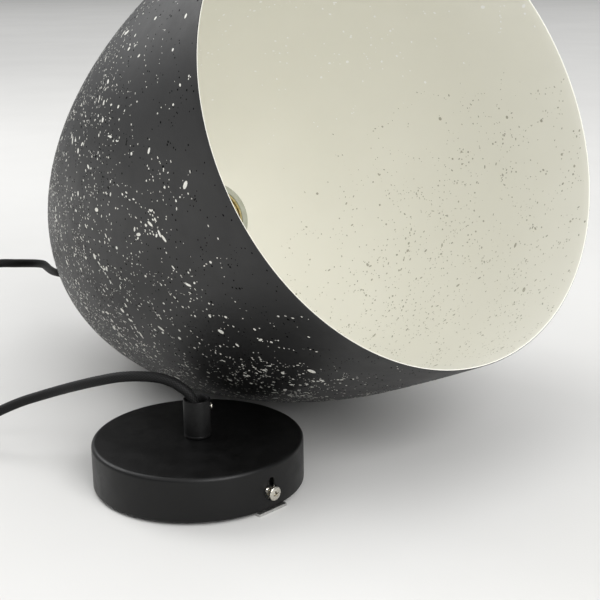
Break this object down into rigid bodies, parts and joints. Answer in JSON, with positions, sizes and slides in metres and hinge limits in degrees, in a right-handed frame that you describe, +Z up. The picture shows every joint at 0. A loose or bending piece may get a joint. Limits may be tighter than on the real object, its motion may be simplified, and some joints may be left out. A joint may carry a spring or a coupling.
{
  "type": "pendant lamp with shade",
  "caption": "Egg-shaped spun steel pendant shade lying on its side, with its lampholder, textile cord, cord grips and round ceiling rose.",
  "frame": {"origin": "on the table, under the middle of the box round the shade and the rose", "axes": "+Z up from the table, -Y towards the side that the shade's mouth faces, +X to the right of it"},
  "size_m": [0.4812, 0.3749, 0.3306],
  "materials": {
    "charcoal_paint": "matt",
    "black_paint": "satin",
    "black_nylon": "satin",
    "textile_braid": "braided",
    "zinc": "zinc-plated",
    "nickel": "nickel-plated",
    "brass": "satin",
    "grey_plastic": "satin",
    "porcelain": "glazed",
    "brown_insulation": "satin",
    "blue_insulation": "satin",
    "green_insulation": "satin",
    "black_fibre": "matt"
  },
  "bodies": {
    "root": {"shade": "charcoal_paint", "shade_cord_grip": "black_nylon", "shade_stem": "zinc", "shade_washer": "zinc", "shade_nut": "zinc", "stem_lock_nut": "zinc", "shade_lead": "textile_braid", "lampholder_cap": "brass", "lampholder_shell": "brass", "lampholder_core": "porcelain", "lampholder_liner": "porcelain", "screw_shell": "brass", "live_terminal": "brass", "neutral_terminal": "brass", "holder_live_wire": "brown_insulation", "holder_neutral_wire": "blue_insulation", "rose_bracket": "zinc", "terminal_block": "porcelain", "rose_live_wire": "brown_insulation", "rose_neutral_wire": "blue_insulation", "rose_earth_wire": "green_insulation", "rose_cover": "black_paint", "rose_cord_grip": "black_nylon", "rose_nipple": "zinc", "rose_washer": "zinc", "rose_nut": "zinc", "rose_lead": "textile_braid", "cord_coil": "textile_braid", "coil_tie": "black_nylon", "cord_shade_run": "textile_braid", "cord_rose_run": "textile_braid"},
    "front_lock_washer": {"front_lock_washer": "nickel"},
    "front_side_screw": {"front_side_screw": "nickel"},
    "back_lock_washer": {"back_lock_washer": "nickel"},
    "back_side_screw": {"back_side_screw": "nickel"},
    "rose_grip_screw": {"rose_grip_screw": "nickel"},
    "shade_grip_screw": {"shade_grip_screw": "nickel"},
    "ring_washer": {"ring_washer": "black_fibre"},
    "retaining_ring": {"retaining_ring": "grey_plastic"},
    "centre_contact": {"centre_contact": "brass"}
  },
  "joints": [
    {"name": "front_screw_travel", "type": "slide", "parent": "root", "child": "front_lock_washer", "axis": [0.7071, -0.7071, 0], "range_m": [0, 0.0049]},
    {"name": "front_screw_turn", "type": "hinge", "parent": "front_lock_washer", "child": "front_side_screw", "pos_m": [-0.01967, -0.15983, 0.011], "axis": [0.7071, -0.7071, 0], "range_deg": [0, 2521]},
    {"name": "back_screw_travel", "type": "slide", "parent": "root", "child": "back_lock_washer", "axis": [-0.7071, 0.7071, 0], "range_m": [0, 0.0049]},
    {"name": "back_screw_turn", "type": "hinge", "parent": "back_lock_washer", "child": "back_side_screw", "pos_m": [-0.10593, -0.07357, 0.011], "axis": [-0.7071, 0.7071, 0], "range_deg": [0, 2521]},
    {"name": "rose_grip_screw_travel", "type": "slide", "parent": "root", "child": "rose_grip_screw", "axis": [0.9397, 0.342, 0], "range_m": [0, 0.003]},
    {"name": "shade_grip_screw_travel", "type": "slide", "parent": "root", "child": "shade_grip_screw", "axis": [0.7649, 0.6441, 0], "range_m": [0, 0.003]},
    {"name": "ring_travel", "type": "slide", "parent": "root", "child": "ring_washer", "axis": [0.5871, -0.6972, 0.4115], "range_m": [0, 0.01]},
    {"name": "ring_turn", "type": "hinge", "parent": "ring_washer", "child": "retaining_ring", "pos_m": [-0.05891, 0.06131, 0.11598], "axis": [0.5871, -0.6972, 0.4115], "range_deg": [0, 1801]},
    {"name": "centre_contact_press", "type": "slide", "parent": "root", "child": "centre_contact", "axis": [-0.5871, 0.6972, -0.4115], "range_m": [0, 0.002]}
  ],
  "couplings": [
    {"joint": "front_screw_turn", "follows": "front_screw_travel", "rad_per_m": 8976},
    {"joint": "back_screw_turn", "follows": "back_screw_travel", "rad_per_m": 8976},
    {"joint": "ring_turn", "follows": "ring_travel", "rad_per_m": 3141.6}
  ]
}
